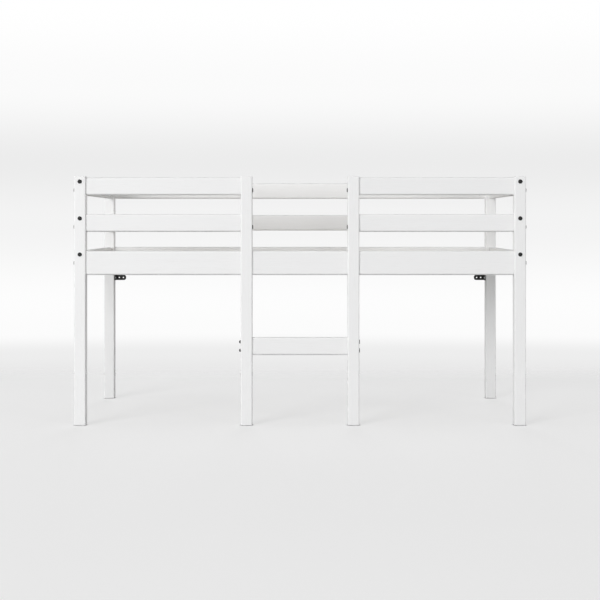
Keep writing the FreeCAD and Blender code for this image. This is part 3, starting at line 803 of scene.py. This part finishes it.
def staple_tree(webbing, material):
    """Two staples where each band crosses each slat, a little askew."""
    tree = GeometryTree("drive_staples")
    band_low = band_boxes["front"][0]
    slat_reach = slat_boxes[-1][0].x - slat_boxes[0][0].x
    crown = tree.size("Crown Width", "Float", webbing.staple_crown)
    leg = tree.size("Leg Length", "Float", webbing.staple_leg)
    width = tree.size("Wire Width", "Float", webbing.staple_wire)
    thickness = tree.size("Wire Thickness", "Float", webbing.staple_thickness)
    spacing = tree.size("Staple Spacing", "Float", webbing.staple_spacing)
    slats = tree.size("Slat Count", "Int", len(slat_boxes))
    reach = tree.size("Slat Reach", "Float", slat_reach)
    bands = tree.size("Band Spacing", "Float", band_boxes["back"][0].y - band_low.y)
    level = tree.size("Crown Height", "Float", band_low.z)
    turn = tree.size("Turn", "Float", webbing.staple_turn)
    seed = tree.size("Seed", "Int", webbing.seed)
    finish = tree.size("Finish", "Material", material)

    grid = {"Size X": reach, "Size Y": bands, "Vertices X": slats, "Vertices Y": len(band_boxes)}
    crossings = tree.add("GeometryNodeMeshGrid", grid).outputs[0]
    start = tree.join(tree.maths("DIVIDE", spacing, -2.0), 0.0, level)
    row = {"Count": 2, "Start Location": start, "Offset": tree.join(spacing, 0.0, 0.0)}
    pair = tree.add("GeometryNodeMeshLine", row).outputs[0]
    pairs = tree.add("GeometryNodeInstanceOnPoints", {"Points": crossings, "Instance": pair}).outputs[0]
    places = tree.add("GeometryNodeRealizeInstances", {"Geometry": pairs}).outputs[0]
    spread = {"Min": tree.maths("MULTIPLY", turn, -1.0), "Max": turn, "Seed": seed}
    askew = tree.add("FunctionNodeRandomValue", spread, data_type="FLOAT").outputs[1]
    wire = staple_wire(tree, crown, leg, width, thickness)
    driven = {"Points": places, "Instance": wire, "Rotation": tree.join(0.0, 0.0, askew)}
    staples = tree.add("GeometryNodeInstanceOnPoints", driven).outputs[0]
    real = tree.add("GeometryNodeRealizeInstances", {"Geometry": staples}).outputs[0]
    painted = tree.add("GeometryNodeSetMaterial", {"Geometry": real, "Material": finish}).outputs[0]
    tree.finish(painted)
    return tree


class BED_OT_drive_staples(bpy.types.Operator):
    """Drives the staples that hold the bands to the slats"""

    bl_idname = "bed.drive_staples"
    bl_label = "Drive Staples"

    def execute(self, context):
        plating = bpy.data.materials.get("zinc_plate") or zinc_plate(context.scene.bed_finishes)
        staples = staple_tree(context.scene.bed_webbing, plating).applied_to("band_staples")
        if not staples.data.polygons:
            raise RuntimeError("no staples were made")
        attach(staples, BASE_BODY)
        return {"FINISHED"}


# Stage


def tone_ramp(nodes, value, tones, ease):
    """Grey that follows the tones, a list of (value, tone), as the value rises."""
    halfway = 0.5
    lowest, highest = tones[0][0], tones[-1][0]
    share = nodes.add("MapRange", {"Value": value, "From Min": lowest, "From Max": highest}).outputs[0]
    ramp = nodes.add("ValToRGB", {"Fac": share})
    ramp.color_ramp.interpolation = ease
    stops = ramp.color_ramp.elements
    while len(stops) < len(tones):
        stops.new(halfway)
    for stop, (place, tone) in zip(stops, tones):
        stop.position = (place - lowest) / (highest - lowest)
        stop.color = (tone, tone, tone, 1)
    return ramp.outputs[0]


def shown_share(nodes):
    """1 for rays from the camera and through or off shiny surfaces, 0 for the rest."""
    path = nodes.add("LightPath").outputs
    seen = nodes.maths("MAXIMUM", path["Is Camera Ray"], path["Is Glossy Ray"])
    return nodes.maths("MAXIMUM", seen, path["Is Transmission Ray"])


def studio_world(stage):
    """Soft light from all round, and a pale gradient where the background is seen or mirrored."""
    world = bpy.data.worlds.new("studio")
    nodes = ShaderTree(world)
    rise = nodes.split(nodes.add("TexCoord").outputs["Generated"])[2]

    # Tones by the sine of the angle above the horizon
    backdrop = [(-0.16, 0.79), (-0.112, 0.81), (-0.097, 0.85), (-0.082, 0.97), (-0.06, 0.98), (0.0, 0.90),
                (0.044, 0.84), (0.1, 0.96), (0.16, 1.0)]
    glow = [(-1.0, 0.0), (-0.05, 0.0), (0.0, stage.fill_level), (0.2, stage.fill_level), (0.3, 0.0),
            (1.0, stage.fill_overhead)]
    seen = nodes.add("Background", {"Color": tone_ramp(nodes, rise, backdrop, "EASE"), "Strength": 1.0})
    light = nodes.add("Background", {"Color": tone_ramp(nodes, rise, glow, "LINEAR"), "Strength": 1.0})
    mixed = nodes.add("MixShader", {0: shown_share(nodes), 1: light.outputs[0], 2: seen.outputs[0]})
    nodes.add("OutputWorld", {"Surface": mixed.outputs[0]})
    return world


def floor_finish(stage):
    """Matt floor, shown pale with faint shadows and a painted contact shadow by the feet, that fades out at
    its edges and is open from below.
    """
    material, nodes = new_material("studio_floor")
    contact_samples = 4
    bounce = nodes.add("BsdfDiffuse", {"Color": stage.floor_bounce})
    shaded = nodes.add("BsdfDiffuse", {"Color": stage.floor_shade})
    # Painted contact shadow: ambient occlusion darkens the floor's glow within a short reach of the feet
    painted_contact_shade = nodes.add("AmbientOcclusion", {"Distance": stage.contact_shadow_reach}, samples=contact_samples)
    lifted = nodes.add("Emission", {"Color": stage.floor_glow, "Strength": painted_contact_shade.outputs["AO"]})
    pale = nodes.add("AddShader", {0: shaded.outputs[0], 1: lifted.outputs[0]})
    top = nodes.add("MixShader", {0: shown_share(nodes), 1: bounce.outputs[0], 2: pale.outputs[0]})
    x, y = nodes.split(nodes.object_point())[:2]
    clear_share = nodes.add("NewGeometry").outputs["Backfacing"]
    edges = ((nodes.maths("ABSOLUTE", x), stage.floor_side), (y, stage.floor_back), (y, stage.floor_front))
    for value, edge in edges:
        faded = nodes.span(value, edge - math.copysign(stage.floor_fade, edge), edge)
        clear_share = nodes.maths("MAXIMUM", clear_share, faded)
    clear = nodes.add("BsdfTransparent")
    mixed = nodes.add("MixShader", {0: clear_share, 1: top.outputs[0], 2: clear.outputs[0]})
    nodes.add("OutputMaterial", {"Surface": mixed.outputs[0]})
    return material


def lay_floor(context, stage):
    side, front, back = stage.floor_side, stage.floor_front, stage.floor_back
    corners = [(-side, front, 0), (side, front, 0), (side, back, 0), (-side, back, 0)]
    mesh = bpy.data.meshes.new("floor")
    mesh.from_pydata(corners, [], [range(len(corners))])
    floor = bpy.data.objects.new("floor", mesh)
    context.scene.collection.objects.link(floor)
    paint(floor, floor_finish(stage))


def hang_lamp(context, name, place, target, size, power):
    """Square lamp that faces the target. The camera doesn't see it."""
    lamp = bpy.data.lights.new(name, "AREA")
    lamp.size = size
    lamp.energy = power
    holder = bpy.data.objects.new(name, lamp)
    holder.location = place
    holder.rotation_euler = (target - Vector(place)).to_track_quat("-Z", "Y").to_euler()
    holder.visible_camera = False
    context.scene.collection.objects.link(holder)
    return holder


def place_camera(context, stage):
    """Level camera in front of the ladder, whose picture is shifted down."""
    camera = bpy.data.cameras.new("camera")
    camera.lens = stage.camera_lens
    camera.shift_y = -stage.camera_drop
    holder = bpy.data.objects.new("camera", camera)
    holder.location = (0, -stage.camera_distance, stage.camera_height)
    holder.rotation_euler = (math.pi / 2, 0, 0)
    context.scene.collection.objects.link(holder)
    context.scene.camera = holder


class BED_OT_set_stage(bpy.types.Operator):
    """Sets the floor, background, lamps and camera"""

    bl_idname = "bed.set_stage"
    bl_label = "Set Stage"

    def execute(self, context):
        stage = context.scene.bed_stage
        low, high = cad_box
        context.scene.world = studio_world(stage)
        lay_floor(context, stage)
        for name in ("key", "balance", "side", "back"):
            place, size, power = (getattr(stage, f"{name}_{trait}") for trait in ("place", "size", "power"))
            lamp = hang_lamp(context, name, place, (low + high) / 2, size, power)
            lamp.visible_glossy = name != "back"
        place_camera(context, stage)
        context.scene.view_settings.view_transform = "Standard"
        return {"FINISHED"}


# Panel and registration


class BED_PT_mid_sleeper(bpy.types.Panel):
    """Lists the bed's steps and settings"""

    bl_idname = "BED_PT_mid_sleeper"
    bl_label = "Mid Sleeper"
    bl_space_type = "VIEW_3D"
    bl_region_type = "UI"
    bl_category = "Mid Sleeper"

    def draw(self, context):
        for step in STEPS:
            self.layout.operator(step.bl_idname)
        for holder in SETTINGS:
            settings = getattr(context.scene, holder)
            column = self.layout.column()
            for name in settings.__annotations__:
                column.prop(settings, name)


STEPS = (
    BED_OT_lacquer_boards,
    BED_OT_finish_slats,
    BED_OT_finish_fittings,
    BED_OT_weave_bands,
    BED_OT_drive_staples,
    BED_OT_set_stage,
)
SETTINGS = {"bed_finishes": BedFinishes, "bed_webbing": BedWebbing, "bed_stage": BedStage}


def register():
    for group in SETTINGS.values():
        bpy.utils.register_class(group)
    for step in STEPS:
        bpy.utils.register_class(step)
    bpy.utils.register_class(BED_PT_mid_sleeper)
    for holder, group in SETTINGS.items():
        setattr(bpy.types.Scene, holder, PointerProperty(type=group))


def unregister():
    for holder in SETTINGS:
        delattr(bpy.types.Scene, holder)
    bpy.utils.unregister_class(BED_PT_mid_sleeper)
    for step in reversed(STEPS):
        bpy.utils.unregister_class(step)
    for group in SETTINGS.values():
        bpy.utils.unregister_class(group)


def main():
    register()
    bpy.ops.bed.lacquer_boards()
    bpy.ops.bed.finish_slats()
    bpy.ops.bed.finish_fittings()
    bpy.ops.bed.weave_bands()
    bpy.ops.bed.drive_staples()
    bpy.ops.bed.set_stage()


if __name__ == "__main__":
    main()
